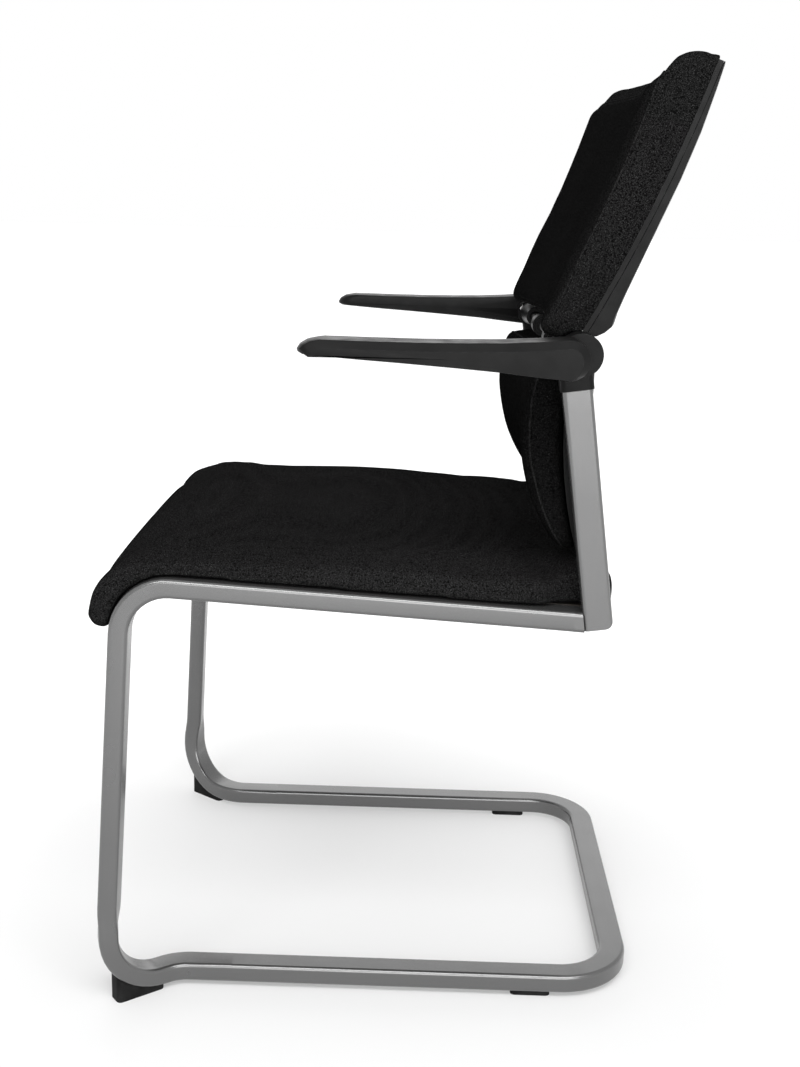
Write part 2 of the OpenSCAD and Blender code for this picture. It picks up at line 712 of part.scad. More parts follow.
// a bracket screw's head sits in a flat recess of the shell's rear wall
bracket_head_y = lumbar_rear + lumbar_set(bracket_screw_x) - lumbar_wall / 2 - bracket_front;
module bracket_screw_places() both_sides() for (z = [-1, 1])
    translate([bracket_screw_x, bracket_front, bracket_z + z * bracket_screw_z]) children();
module back_bracket() color(steel) difference() {
    translate([lumbar_half - bracket_reach, bracket_front, bracket_z - bracket_h / 2])
        cube([lumbar_clear + bracket_reach, bracket_t, bracket_h]);
    bracket_screw_places() translate([0, -overrun, 0]) rotate([-90, 0, 0])
        cylinder(h = bracket_t + 2 * overrun, r = bracket_screw_r + screw_fit, $fn = small_fn);
}
module bracket_screws() color(zinc) bracket_screw_places() rotate([-90, 0, 0]) {
    cylinder(h = bracket_head_y, r = bracket_screw_r, $fn = small_fn);
    translate([0, 0, bracket_head_y])
        cylinder(h = bracket_screw_r, r = bracket_screw_r * head_share, $fn = small_fn);
}

// ---- upper back ----

// the upper back follows its side line: places are measured up it and rearward from it
function back_angle(s) = recline_angle - s / back_r * 180 / PI;
function back_place(x, s, off) =
    let(a = back_angle(s))
    [x, back_foot_y + back_r * (cos(a) - cos(recline_angle)) + off * cos(a)
        + back_sag * (1 - pow(x / back_half, 2)),
        back_foot_z + back_r * (sin(recline_angle) - sin(a)) - off * sin(a)];
function back_half_at(s) =
    let(up = s - back_len + back_corner_r)
    up <= 0 ? back_half : back_half - back_corner_r + sqrt(max(0, back_corner_r * back_corner_r - up * up));

// share of the outline, of the pad's depth, and of the length at its lower and upper edges
back_ring_shares = [[0.35, 0, 0.01, 0.98], [0.7, 0, 0.01, 0.98], [0.93, 0, 0.01, 0.98],
    [0.985, 0.02, 0.005, 0.985], [1, 0.2, -0.008, 1], [1, 0.42, -0.014, 0.996], [1, 0.65, -0.02, 0.977],
    [1, 0.87, -0.028, 0.939], [0.995, 1, -0.033, 0.89], [0.98, 1.4, -0.033, 0.893],
    [0.95, 1.68, -0.033, 0.896], [0.9, 1.86, -0.033, 0.9], [0.82, 1.96, -0.033, 0.9],
    [0.7, 2, -0.033, 0.9], [0.5, 2, -0.033, 0.9], [0.25, 2, -0.033, 0.9]];
function back_ring(share) = [
    for (q = pad_outline(
        back_half, share[2] * back_len, share[3] * back_len, back_low_r, back_corner_r, share[0]))
        let(deep = back_pad_deep - back_pad_taper * (1 - q[1] / back_len))
        back_place(q[0], q[1], -deep * min(1, share[1]) - back_crown * max(0, share[1] - 1))
];
module upper_back_pad() color(cloth) soft_loft([for (s = back_ring_shares) back_ring(s)]);

// shell over rows of [place up the side line, front, rear], from x share u0 to u1
module back_body(rows, u0, u1, steps) shell_loft([for (i = [0:steps])
    let(u = u0 + (u1 - u0) * i / steps)
    concat(
        [for (r = rows) back_place(u * back_half_at(r[0]), r[0], r[2])],
        [for (k = [len(rows) - 1:-1:0]) let(r = rows[k]) back_place(u * back_half_at(r[0]), r[0], r[1])])]);

back_steps = 16;
carrier_shares = [0.012, 0.12, 0.24, 0.36, 0.48, 0.6, 0.7, 0.78, 0.84, 0.9, 0.95, 0.98];
carrier_rows = [for (c = carrier_shares) [c * back_len, soft_gap, soft_gap + carrier_t]];
seat_block_top = soft_gap + carrier_t + seat_block_t;

module on_seat_block() translate(back_place(lug_x, lug_seat_at, 0))
    rotate([-back_angle(lug_seat_at), 0, 0]) children();
module lug_screw_places() on_seat_block() for (z = [-1, 1])
    translate([0, seat_block_top, z * lug_screw_at]) rotate([-90, 0, 0]) children();
module upper_back_carrier() color(black) difference() {
    union() {
        back_body(carrier_rows, -1, 1, back_steps);
        both_sides() on_seat_block()
            translate([-seat_block_w / 2, seat_block_top / 3, -seat_block_h / 2])
                cube([seat_block_w, seat_block_top * 2 / 3, seat_block_h]);
    }
    both_sides() lug_screw_places() translate([0, 0, -lug_screw_bite])
        cylinder(h = lug_screw_bite + overrun, r = lug_screw_r + screw_fit, $fn = small_fn);
}

// share of the side line and share of the knee's depth
cover_shares = [[0.012, 0.27], [0.034, 0.66], [0.057, 0.87], [0.085, 1], [0.12, 0.89], [0.2, 0.77],
    [0.3, 0.68], [0.45, 0.59], [0.6, 0.56], [0.76, 0.495], [0.9, 0.38], [0.98, 0.31]];
pocket_shares = [[0.1, 0.9], [0.2, 0.77], [0.3, 0.68], [0.45, 0.59], [0.6, 0.56], [0.75, 0.495]];
// ribs of the rear cover, as shares of its half width
pocket_edge_shares = [[-0.985, -0.67], [-0.65, -0.25], [-0.23, 0.23], [0.25, 0.65], [0.67, 0.985]];
cover_front = carrier_t + 2 * soft_gap;

module upper_back_cover() color(black) difference() {
    back_body([for (c = cover_shares) [c[0] * back_len, cover_front, c[1] * cover_deep]], -1, 1, back_steps);
    for (p = pocket_edge_shares)
        back_body(
            [for (c = pocket_shares)
                [c[0] * back_len, cover_front - overrun, c[1] * cover_deep - cover_wall]],
            p[0], p[1], 4);
    both_sides() on_seat_block()
        translate([-lug_w / 2 - seat_fit, seat_block_top - seat_fit, -lug_seat_at - seat_fit])
            cube([lug_w + 2 * seat_fit, lug_t + 2 * seat_fit, lug_seat_at]);
}

// ---- hinge ----

cap_outer_x = rail_span / 2 + cap_wall;
shaft_end_x = cap_outer_x - cap_end - ring_gap;
bush_r = shaft_r + shaft_fit + bush_wall;

module at_hinge() translate([0, hinge_y, hinge_z]) children();
module hinge_lug() color(zinc) difference() {
    union() {
        at_hinge() along_x(lug_x - lug_w / 2, lug_x + lug_w / 2, lug_r);
        translate([lug_x - lug_w / 2, hinge_y, hinge_z - lug_bar_h / 2])
            cube([lug_w, lug_bar_len, lug_bar_h]);
        on_seat_block() translate([seat_fit - lug_w / 2, seat_block_top, -riser_down])
            cube([lug_w - 2 * seat_fit, lug_t, riser_down + riser_up]);
    }
    at_hinge() along_x(lug_x - lug_w, lug_x + lug_w, shaft_r + shaft_fit);
    lug_screw_places() translate([0, 0, -overrun])
        cylinder(h = lug_t + 2 * overrun, r = lug_screw_r + screw_gap, $fn = small_fn);
}
module lug_screws() color(zinc) both_sides() lug_screw_places() {
    translate([0, 0, -lug_screw_bite + seat_fit])
        cylinder(h = lug_screw_bite - seat_fit + lug_t, r = lug_screw_r, $fn = small_fn);
    translate([0, 0, lug_t]) cylinder(h = lug_screw_r * 0.6, r = lug_screw_r * head_share, $fn = small_fn);
}
module hinge_shaft() color(zinc) at_hinge() along_x(-shaft_end_x, shaft_end_x, shaft_r);
module shaft_rings() color(zinc) at_hinge() both_sides()
    for (x = [lug_x - lug_w / 2 - ring_gap - ring_w, lug_x + lug_w / 2 + ring_gap]) difference() {
        along_x(x, x + ring_w, ring_r);
        along_x(x - overrun, x + ring_w + overrun, shaft_r + shaft_fit);
    }
module hinge_bush() color(black) at_hinge() difference() {
    along_x(cap_inner_x, shaft_end_x, bush_r);
    along_x(cap_inner_x - overrun, shaft_end_x + overrun, shaft_r + shaft_fit);
}
module hinge_sleeve() color(black) at_hinge() difference() {
    union() {
        translate([cap_inner_x, 0, 0]) rotate([0, -90, 0])
            cylinder(h = sleeve_len, r1 = sleeve_r, r2 = sleeve_end_r, $fn = round_fn);
        along_x(cap_inner_x - sleeve_len - sleeve_ring_len, cap_inner_x - sleeve_len, sleeve_ring_r);
    }
    along_x(cap_inner_x - sleeve_bore_deep, cap_inner_x + overrun, sleeve_bore_r);
    along_x(cap_inner_x - sleeve_len * 2, cap_inner_x, shaft_r + 2 * seat_fit);
}

coil_turns = 6;
turn_steps = 14;
wire_sides = 6;
coil_start_x = cap_inner_x - sleeve_bore_deep + 2 * wire_r;
coil_places = [for (i = [0:coil_turns * turn_steps])
    let(a = 360 * i / turn_steps, rise = coil_len / coil_turns / (2 * PI))
    [[coil_start_x + coil_len * i / (coil_turns * turn_steps), coil_r * cos(a), coil_r * sin(a)],
        unit([rise, -coil_r * sin(a), coil_r * cos(a)]), [0, cos(a), sin(a)]]];
module return_spring() color(zinc) at_hinge() soft_loft([for (p = coil_places)
    let(n = cross(p[1], p[2]))
    [for (j = [0:wire_sides - 1]) p[0] + wire_r * (p[2] * cos(60 * j) + n * sin(60 * j))]]);
// least distance between the coil's surfaces, over points more than half a turn apart
coil_gap = min([for (i = [0:turn_steps]) min([for (j = [i + turn_steps / 2:i + 2 * turn_steps])
    norm(coil_places[i][0] - coil_places[j][0])])]) - 2 * wire_r;
echo(coil_gap = coil_gap);  // left_return_spring

// ---- caps ----

cap_base = upright_len - cap_grip;
module cap() color(black) difference() {
    union() {
        on_upright() translate([0, 0, cap_base])
            linear_extrude(cap_grip + barrel_r) rotate(90) tube_section(cap_wall - cap_step);
        at_hinge() along_x(cap_inner_x, cap_outer_x, boss_r);
        translate([0, hinge_y + barrel_back, hinge_z + barrel_up])
            along_x(cap_inner_x, cap_outer_x, barrel_r);
    }
    on_upright() translate([0, 0, cap_base - overrun])
        linear_extrude(cap_grip + overrun + seat_fit) rotate(90) tube_section(cap_fit);
    at_hinge() along_x(cap_inner_x - overrun, shaft_end_x + ring_gap, bush_r + shaft_fit);
    arm_screw_places() along_x(0, arm_w, arm_screw_r + screw_gap);
    arm_screw_places() along_x(-overrun, arm_screw_r, arm_screw_r * head_share + screw_gap);
}
module arm_screw_places() for (a = [75, 155])
    translate([cap_inner_x, hinge_y + arm_screw_at * cos(a), hinge_z + arm_screw_at * sin(a)]) children();
module arm_screws() color(zinc) both_sides() arm_screw_places() {
    along_x(0, arm_screw_r, arm_screw_r * head_share);
    along_x(arm_screw_r, cap_outer_x - cap_inner_x + arm_screw_bite - seat_fit, arm_screw_r);
}

// ---- arm rests ----

// places round the arm's side view: share of the length forward, share of the rear end's radius up
arm_line_shares = [[0.13, 0.86], [0.26, 0.77], [0.4, 0.72], [0.55, 0.69], [0.75, 0.695], [0.93, 0.715],
    [0.965, 0.62], [0.99, 0.42], [1, 0.2], [0.998, 0.07], [0.985, -0.03], [0.94, -0.08],
    [0.78, -0.22], [0.62, -0.34], [0.42, -0.51], [0.26, -0.66], [0.12, -0.85]];
// places across the arm: share of the width, of the bevel off the top, the rounding below and the tip's curve
arm_across_shares = [[0, 0.45, 1, 1], [0.03, 0.12, 0.3, 0.72], [0.08, 0, 0, 0.45], [0.2, 0, 0, 0.14],
    [0.38, 0, 0, 0], [0.62, 0, 0, 0], [0.8, 0, 0, 0.14], [0.875, 0, 0, 0.3], [1, 1, 0.4, 0.8]];
function arm_ring(share) =
    let(x = cap_outer_x + share[0] * arm_w, top = arm_bevel * share[1], low = arm_round * share[2],
        back = arm_tip_r * share[3])
    concat(
        [for (a = [-90:22.5:90])
            [x, arm_rear_y + (arm_end_r - top) * cos(a),
                arm_rear_z + (arm_end_r - (a > 0 ? top : low)) * sin(a)]],
        [for (s = arm_line_shares)
            [x, arm_rear_y - s[0] * (arm_len - back),
                arm_rear_z + arm_end_r * s[1] - (s[1] > 0 ? top : -low * 0.5) * min(1, abs(s[1]) * 4)]]);
module arm() color(black) difference() {
    soft_loft([for (s = arm_across_shares) arm_ring(s)]);
    arm_screw_places() along_x(0, cap_outer_x - cap_inner_x + arm_screw_bite, arm_screw_r + screw_fit);
}

mirror([1, 0, 0]) side_tube();  // left_side_tube
side_tube();  // right_side_tube
floor_loop_tube();
mirror([1, 0, 0]) upright();  // left_upright
upright();  // right_upright
mirror([1, 0, 0]) rail_socket();  // left_rail_socket
rail_socket();  // right_rail_socket
mirror([1, 0, 0]) front_foot();  // left_front_foot
front_foot();  // right_front_foot
mirror([1, 0, 0]) rear_glide();  // left_rear_glide
rear_glide();  // right_rear_glide
cross_bar(front_bar_at);  // front_cross_bar
cross_bar(rear_bar_at);  // rear_cross_bar
seat_pan();
seat_screws();
seat_cushion();
mirror([1, 0, 0]) cap();  // left_cap
cap();  // right_cap
mirror([1, 0, 0]) hinge_bush();  // left_hinge_bush
hinge_bush();  // right_hinge_bush
mirror([1, 0, 0]) hinge_sleeve();  // left_hinge_sleeve
hinge_sleeve();  // right_hinge_sleeve
mirror([1, 0, 0]) return_spring();  // left_return_spring
return_spring();  // right_return_spring
hinge_shaft();
shaft_rings();
mirror([1, 0, 0]) arm();  // left_arm
arm();  // right_arm
arm_screws();
lower_back_pad();
lower_back_shell();
mirror([1, 0, 0]) back_bracket();  // left_back_bracket
back_bracket();  // right_back_bracket
bracket_screws();
upper_back_pad();
upper_back_carrier();
upper_back_cover();
mirror([1, 0, 0]) hinge_lug();  // left_hinge_lug
hinge_lug();  // right_hinge_lug
lug_screws();
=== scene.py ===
import json
import math

import bmesh
import bpy
import numpy as np
from mathutils import Matrix, Vector
from mathutils.bvhtree import BVHTree


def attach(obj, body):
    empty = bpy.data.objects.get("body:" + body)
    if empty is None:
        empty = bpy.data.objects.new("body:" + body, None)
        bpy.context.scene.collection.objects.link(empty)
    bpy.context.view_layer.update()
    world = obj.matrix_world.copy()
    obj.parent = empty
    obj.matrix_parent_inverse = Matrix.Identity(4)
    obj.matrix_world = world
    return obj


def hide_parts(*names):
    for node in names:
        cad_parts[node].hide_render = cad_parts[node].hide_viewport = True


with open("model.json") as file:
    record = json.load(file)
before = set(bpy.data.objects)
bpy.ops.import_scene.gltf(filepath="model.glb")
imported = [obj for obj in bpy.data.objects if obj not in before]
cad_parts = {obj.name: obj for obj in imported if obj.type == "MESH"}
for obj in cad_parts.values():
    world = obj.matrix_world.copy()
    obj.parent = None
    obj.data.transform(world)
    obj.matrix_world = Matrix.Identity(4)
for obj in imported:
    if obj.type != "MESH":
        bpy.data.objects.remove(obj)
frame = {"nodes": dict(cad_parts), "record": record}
nodes = frame["nodes"]
scene = bpy.context.scene
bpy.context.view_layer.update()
MM = 0.001
WELD = 1e-5

# ---- camera: the photograph's place, turn and framing ----

# turns in radians, from a level look along -X; sensor and lens in millimetres, clips in metres
CAMERA_AT = Vector((1470.5, 21.1, 784.0)) * MM
CAMERA_YAW, CAMERA_PITCH, CAMERA_ROLL = -0.0158, 0.2396, 0.0256
SENSOR_W, LENS = 36.0, 62.04
CLIP_NEAR, CLIP_FAR = 0.05, 100.0


def turned(a, b, angle):
    """Two square axes, turned by the angle from the first towards the second."""
    return a * math.cos(angle) + b * math.sin(angle), b * math.cos(angle) - a * math.sin(angle)


def make_camera():
    ahead, right, up = Vector((-1, 0, 0)), Vector((0, 1, 0)), Vector((0, 0, 1))
    ahead, right = turned(ahead, right, CAMERA_YAW)
    ahead, up = turned(ahead, up, -CAMERA_PITCH)
    right, up = turned(right, up, CAMERA_ROLL)
    data = bpy.data.cameras.new("Camera")
    data.sensor_fit = "HORIZONTAL"
    data.sensor_width = SENSOR_W
    data.lens = LENS
    data.clip_start, data.clip_end = CLIP_NEAR, CLIP_FAR
    cam = bpy.data.objects.new("Camera", data)
    cam.matrix_world = Matrix.Translation(CAMERA_AT) @ Matrix((right, up, -ahead)).transposed().to_4x4()
    scene.collection.objects.link(cam)
    scene.camera = cam


# ---- node materials: scales in waves per metre, bump depths in metres, tones linear ----

STEEL_DARK, STEEL_LIGHT, STEEL_FLAKE, STEEL_SCUFF = 0.027, 0.031, 0.05, 0.07
ZINC_DARK, ZINC_LIGHT, ZINC_WARMTH = 0.42, 0.56, 0.02
PLASTIC_DARK, PLASTIC_LIGHT, PLASTIC_WORN = 0.004, 0.006, 0.05
RUBBER_DARK, RUBBER_LIGHT = 0.006, 0.013
PLY_DARK, PLY_LIGHT = (0.010, 0.009, 0.008, 1.0), (0.026, 0.021, 0.017, 1.0)
LINT = 0.35
# the cloth's clouds, the gaps between its knots and the painted shade on its front, as shares of its dark
# tone
CLOUD_DARK, CLOUD_LIGHT, KNOT_GAP, FRONT_PAINTED_SHADE = 0.85, 1.2, 0.35, 0.4
FLOOR_DARK, FLOOR_LIGHT = 0.5, 0.51
# the floor's painted light, a glow of its own, from its middle outwards: where it grows, and from what to
# what
GLOW_MIDDLE, GLOW_FROM, GLOW_TO, GLOW_LOW, GLOW_HIGH = (0.5, 0.0, 0.0), 0.3, 1.6, 0.25, 0.75
WHITE = (1.0, 1.0, 1.0, 1.0)


class Nodes:
    """A material's node tree, with short calls to add nodes to it."""

    def __init__(self, name):
        self.material = bpy.data.materials.new(name)
        self.material.use_nodes = True
        self.tree = self.material.node_tree
        self.shader = next(n for n in self.tree.nodes if n.type == "BSDF_PRINCIPLED")
        self.place = self.add("ShaderNodeTexCoord").outputs["Object"]

    def add(self, kind, settings=None, **inputs):
        made = self.tree.nodes.new(kind)
        for key, value in (settings or {}).items():
            setattr(made, key, value)
        for key, value in inputs.items():
            self.put(made.inputs[key.replace("_", " ")], value)
        return made

    def put(self, socket, value):
        if isinstance(value, bpy.types.NodeSocket):
            self.tree.links.new(value, socket)
        else:
            socket.default_value = value

    def fill(self, made, *values):
        """Puts the values in the node's first inputs, in their order."""
        for socket, value in zip(made.inputs, values):
            self.put(socket, value)
        return made

    def noise(self, scale, detail=2.0, roughness=0.5):
        made = self.add("ShaderNodeTexNoise", Vector=self.place, Scale=scale, Detail=detail)
        self.put(made.inputs["Roughness"], roughness)
        return made.outputs[0]

    def cells(self, scale, feature="F1", randomness=1.0):
        made = self.add("ShaderNodeTexVoronoi", {"feature": feature}, Vector=self.place, Scale=scale)
        self.put(made.inputs["Randomness"], randomness)
        return made.outputs["Distance"]

    def times(self, a, b):
        return self.fill(self.add("ShaderNodeMath", {"operation": "MULTIPLY"}), a, b).outputs[0]

    def spread(self, value, low, high, to_low=0.0, to_high=1.0):
        made = self.add("ShaderNodeMapRange", {"interpolation_type": "SMOOTHSTEP"})
        return self.fill(made, value, low, high, to_low, to_high).outputs[0]

    def mix(self, share, a, b):
        made = self.add("ShaderNodeMix", {"data_type": "RGBA"})
        self.put(made.inputs[0], share)
        self.put(made.inputs[6], a)
        self.put(made.inputs[7], b)
        return made.outputs[2]

    def lay(self, ground, tone, mask, share):
        """The ground, with the tone laid over it where the mask is, by the share at most."""
        return self.mix(self.times(mask, share), ground, tone)

    def bump(self, height, depth, strength, normal=None):
        made = self.add("ShaderNodeBump", Strength=strength, Distance=depth, Height=height)
        if normal is not None:
            self.put(made.inputs["Normal"], normal)
        return made.outputs[0]

    def edge_wear(self, radius, low, high):
        """1 along the worn outer edges, broken up by noise, 0 elsewhere."""
        soft = self.add("ShaderNodeBevel", {"samples": 3}, Radius=radius).outputs[0]
        sharp = self.add("ShaderNodeNewGeometry").outputs["Normal"]
        alike = self.fill(self.add("ShaderNodeVectorMath", {"operation": "DOT_PRODUCT"}), soft, sharp)
        edge = self.spread(alike.outputs["Value"], high, low)
        return self.times(edge, self.spread(self.noise(160.0, detail=3.0), 0.45, 0.7))

    def finish(self, **inputs):
        for key, value in inputs.items():
            self.put(self.shader.inputs[key.replace("_", " ")], value)
        return self.material


def grey(v, warm=0.0):
    return (v * (1 + warm), v, v * (1 - warm), 1.0)


def make_steel():
    """Satin powder coat with fine flakes, a few scuffs and a faint orange skin."""
    n = Nodes("powder_coat")
    flake = n.spread(n.cells(2600.0), 0.1, 0.6)
    cloud = n.spread(n.noise(5.0, detail=3.0), 0.3, 0.7)
    tone = n.mix(cloud, grey(STEEL_DARK), grey(STEEL_LIGHT))
    tone = n.lay(tone, grey(STEEL_FLAKE), flake, share=0.3)
    scuff = n.spread(n.noise(150.0, detail=4.0, roughness=0.7), 0.66, 0.8)
    tone = n.lay(tone, grey(STEEL_SCUFF), scuff, share=0.15)
    rough = n.spread(n.noise(18.0, detail=3.0), 0.3, 0.75, to_low=0.22, to_high=0.28)
    skin = n.bump(n.noise(1300.0), depth=0.00012, strength=0.35)
    return n.finish(Base_Color=tone, Roughness=rough, Normal=skin, IOR=1.8, Specular_IOR_Level=0.72)


def make_zinc():
    n = Nodes("zinc_plate")
    cloud = n.spread(n.noise(40.0, detail=4.0), 0.3, 0.7)
    tone = n.mix(cloud, grey(ZINC_DARK, ZINC_WARMTH), grey(ZINC_LIGHT))
    rough = n.spread(n.noise(220.0, detail=3.0), 0.3, 0.7, to_low=0.22, to_high=0.42)
    skin = n.bump(n.noise(1800.0), depth=0.00008, strength=0.3)
    return n.finish(Base_Color=tone, Roughness=rough, Normal=skin, Metallic=0.9)


def make_plastic():
    """Black moulding with a fine grain, worn edges and specks of dust."""
    n = Nodes("black_plastic")
    grain = n.cells(2100.0, feature="SMOOTH_F1")
    cloud = n.spread(n.noise(14.0, detail=4.0, roughness=0.6), 0.3, 0.75)
    tone = n.mix(cloud, grey(PLASTIC_DARK), grey(PLASTIC_LIGHT))
    tone = n.lay(tone, grey(PLASTIC_WORN), n.edge_wear(radius=0.001, low=0.9, high=0.99), share=0.3)
    dust = n.spread(n.noise(420.0, detail=4.0, roughness=0.75), 0.68, 0.82)
    tone = n.lay(tone, grey(PLASTIC_WORN), dust, share=0.15)
    rough = n.spread(n.noise(60.0, detail=4.0), 0.3, 0.75, to_low=0.36, to_high=0.52)
    skin = n.bump(grain, depth=0.0001, strength=0.35)
    return n.finish(Base_Color=tone, Roughness=rough, Normal=skin, Specular_IOR_Level=0.09)


def make_rubber():
    n = Nodes("glide_rubber")
    cloud = n.spread(n.noise(70.0, detail=5.0), 0.35, 0.7)
    tone = n.mix(cloud, grey(RUBBER_DARK), grey(RUBBER_LIGHT))
    skin = n.bump(n.noise(900.0, detail=3.0), depth=0.0002, strength=0.5)
    return n.finish(Base_Color=tone, Roughness=0.62, Normal=skin, Specular_IOR_Level=0.08)


def make_cloth(name, dark, light, lint, front=0.0):
    """Woven cover with knots, slubs and specks of lint, with painted shade laid on by the share front where
    the mesh says front.
    """
    n = Nodes(name)
    knots = n.cells(760.0, randomness=0.8)
    slubs = n.noise(1500.0, roughness=0.6)
    yarn = n.spread(slubs, 0.5, 0.72)
    cloud = n.noise(6.0, detail=4.0, roughness=0.55)
    ground = n.mix(n.spread(cloud, 0.3, 0.7), grey(dark * CLOUD_DARK), grey(dark * CLOUD_LIGHT))
    tone = n.mix(yarn, ground, grey(light))
    tone = n.mix(n.spread(knots, 0.45, 0.75), tone, grey(dark * KNOT_GAP))
    speck = n.spread(n.cells(58.0), 0.022, 0.012)
    speck = n.times(speck, n.spread(n.noise(21.0), 0.54, 0.6))
    tone = n.lay(tone, grey(LINT), speck, share=lint)
    # painted shade: the front panel is made darker, standing in for the shade it lies in, away from the
    # light
    if front > 0.0:
        ahead = n.add("ShaderNodeAttribute", {"attribute_name": "front"}).outputs["Fac"]
        tone = n.lay(tone, grey(dark * FRONT_PAINTED_SHADE), n.spread(ahead, 0.0, 1.0), share=front)
    weave = n.bump(knots, depth=0.00035, strength=0.75)
    weave = n.bump(slubs, depth=0.0002, strength=0.5, normal=weave)
    weave = n.bump(cloud, depth=0.0012, strength=0.25, normal=weave)
    rough = n.spread(slubs, 0.3, 0.7, to_low=0.82, to_high=0.97)
    return n.finish(Base_Color=tone, Roughness=rough, Normal=weave, Specular_IOR_Level=0.0)


def make_plywood():
    n = Nodes("stained_plywood")
    stretch = n.add("ShaderNodeMapping", Vector=n.place, Scale=(60.0, 4.0, 60.0)).outputs[0]
    rings = n.add("ShaderNodeTexNoise", Vector=stretch, Scale=1.5, Detail=6.0).outputs[0]
    tone = n.mix(n.spread(rings, 0.3, 0.7), PLY_DARK, PLY_LIGHT)
    skin = n.bump(rings, depth=0.0002, strength=0.4)
    return n.finish(Base_Color=tone, Roughness=0.55, Normal=skin, Specular_IOR_Level=0.4)


def make_floor_paint_and_glow():
    """Pale paint with painted light, a glow of its own that grows outwards and hides the floor's far edge
    against the sky.
    """
    n = Nodes("pale_floor")
    cloud = n.spread(n.noise(1.1, detail=3.0), 0.35, 0.7)
    tone = n.mix(cloud, grey(FLOOR_DARK), grey(FLOOR_LIGHT))
    away = n.fill(n.add("ShaderNodeVectorMath", {"operation": "DISTANCE"}), n.place, GLOW_MIDDLE)
    glow = n.spread(away.outputs["Value"], GLOW_FROM, GLOW_TO, to_low=GLOW_LOW, to_high=GLOW_HIGH)
    return n.finish(
        Base_Color=tone, Roughness=0.6, Specular_IOR_Level=0.1, Emission_Color=WHITE, Emission_Strength=glow)


MATERIALS = {
    "coated_steel": make_steel(),
    "zinc_steel": make_zinc(),
    "black_plastic": make_plastic(),
    "plywood": make_plywood(),
    "cloth": make_cloth("black_cloth", dark=0.0056, light=0.034, lint=0.3),
}
RUBBER = make_rubber()
# the cushions' covers: one cloth, in the tones that the photo shows it in at each place
# painted light: the seat's cover is a lighter copy of the same cloth, standing in for the stronger light on
# the seat
SEAT_CLOTH_PAINTED_LIGHT = make_cloth("seat_cloth_painted_light", dark=0.0068, light=0.041, lint=0.3)
# painted shade: the upper back's front panel is darkened by half of the way to the front share of the dark
# tone
BACK_CLOTH_FRONT_SHADE = make_cloth("back_cloth_front_shade", dark=0.0056, light=0.034, lint=0.3, front=0.5)
# painted shade: the lower back's cover is a darker copy of the same cloth, for the shade under the arms and
# the upper back
LUMBAR_CLOTH_PAINTED_SHADE = make_cloth("lumbar_cloth_painted_shade", dark=0.0034, light=0.019, lint=0.2)
PIPING = make_cloth("piping_cloth", dark=0.009, light=0.03, lint=0.0)

# ---- rigid parts: the CAD nodes, with smooth curves, broken edges and materials ----

SMOOTH_BELOW, BROKEN_ABOVE = math.radians(33), math.radians(38)
# kinds of nodes, without left_ and right_: those hidden in the hinge, given black plastic as painted
# shade for the shade they lie in, those of rubber, and those with broken edges, by the edge's width in
# millimetres
HINGE_SHADE_KINDS = ("hinge_shaft", "return_spring", "lug_screws")
RUBBER_KINDS = ("front_foot", "rear_glide")
BROKEN_EDGES = {
    "cap": 0.9, "arm": 0.6, "front_foot": 0.8, "rear_glide": 0.6, "seat_pan": 0.8, "back_bracket": 0.5,
    "hinge_lug": 0.5, "hinge_sleeve": 0.6, "lower_back_shell": 0.7, "upper_back_carrier": 0.5,
    "upper_back_cover": 0.7,
}


def smoothing_group():
    """Joins the split corners and shades every edge smooth that turns by less than the angle."""
    group = bpy.data.node_groups.new("smooth_faces", "GeometryNodeTree")
    group.interface.new_socket("Geometry", in_out="INPUT", socket_type="NodeSocketGeometry")
    group.interface.new_socket("Geometry", in_out="OUTPUT", socket_type="NodeSocketGeometry")
    source = group.nodes.new("NodeGroupInput")
    merge = group.nodes.new("GeometryNodeMergeByDistance")
    merge.inputs["Distance"].default_value = WELD
    turn = group.nodes.new("GeometryNodeInputMeshEdgeAngle")
    test = group.nodes.new("FunctionNodeCompare")
    test.operation = "LESS_EQUAL"
    test.inputs[1].default_value = SMOOTH_BELOW
    faces = group.nodes.new("GeometryNodeSetShadeSmooth")
    faces.domain = "FACE"
    edges = group.nodes.new("GeometryNodeSetShadeSmooth")
    edges.domain = "EDGE"
    target = group.nodes.new("NodeGroupOutput")
    join = group.links.new
    join(source.outputs[0], merge.inputs["Geometry"])
    join(merge.outputs[0], faces.inputs["Geometry"])
    join(faces.outputs[0], edges.inputs["Geometry"])
    join(turn.outputs["Unsigned Angle"], test.inputs[0])
    join(test.outputs[0], edges.inputs["Shade Smooth"])
    join(edges.outputs[0], target.inputs[0])
    return group


def drop_normals(mesh):
    if mesh.attributes.get("custom_normal") is not None:
        mesh.attributes.remove(mesh.attributes["custom_normal"])


def dress_rigid():
    smooth_faces = smoothing_group()
    slots = {s["node"]: s["material_slot"] for s in frame["record"]["subparts"]}
    for name, obj in nodes.items():
        kind = name.removeprefix("left_").removeprefix("right_")
        material = MATERIALS[slots[name]]
        if kind in RUBBER_KINDS:
            material = RUBBER
        # painted shade: the hinge's hidden metal parts take black plastic for the shade they lie in
        if kind in HINGE_SHADE_KINDS:
            material = MATERIALS["black_plastic"]
        obj.data.materials.clear()
        obj.data.materials.append(material)
        drop_normals(obj.data)
        smooth = obj.modifiers.new("Smooth", "NODES")
        smooth.node_group = smooth_faces
        if slots[name] == "coated_steel":
            weights = obj.modifiers.new("Weights", "WEIGHTED_NORMAL")
            weights.keep_sharp = True
        if kind in BROKEN_EDGES:
            bevel = obj.modifiers.new("Edges", "BEVEL")
            bevel.width = BROKEN_EDGES[kind] * MM
            bevel.segments = 2
            bevel.limit_method = "ANGLE"
            bevel.angle_limit = BROKEN_ABOVE
            bevel.use_clamp_overlap = True


